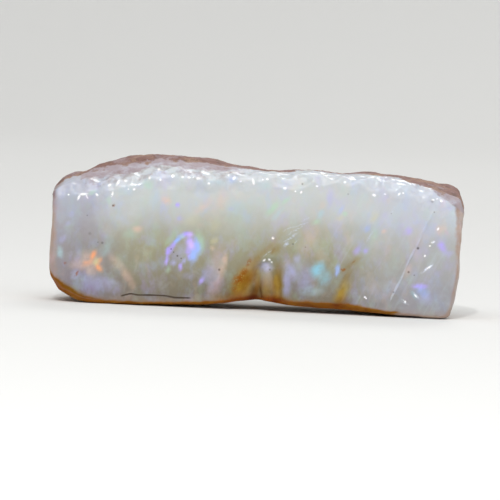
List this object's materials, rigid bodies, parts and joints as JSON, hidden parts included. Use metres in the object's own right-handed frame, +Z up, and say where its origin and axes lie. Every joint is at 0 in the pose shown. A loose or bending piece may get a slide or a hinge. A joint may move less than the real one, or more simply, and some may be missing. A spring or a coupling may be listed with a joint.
{
  "type": "rough opal specimen",
  "caption": "Brick of rough milky seam opal with a flat broken face, a flaked upper rim, a stained notch and a humped skin, resting on its underside.",
  "frame": {"origin": "middle of the stone's bounding box in X and Y, on the surface that it rests on", "axes": "+X along the stone to its right end, +Y from the broken face to the back, +Z up"},
  "size_m": [0.0332, 0.0104, 0.012],
  "materials": {
    "opal": "gloss"
  },
  "bodies": {
    "root": {"rough_opal": "opal"}
  },
  "joints": []
}
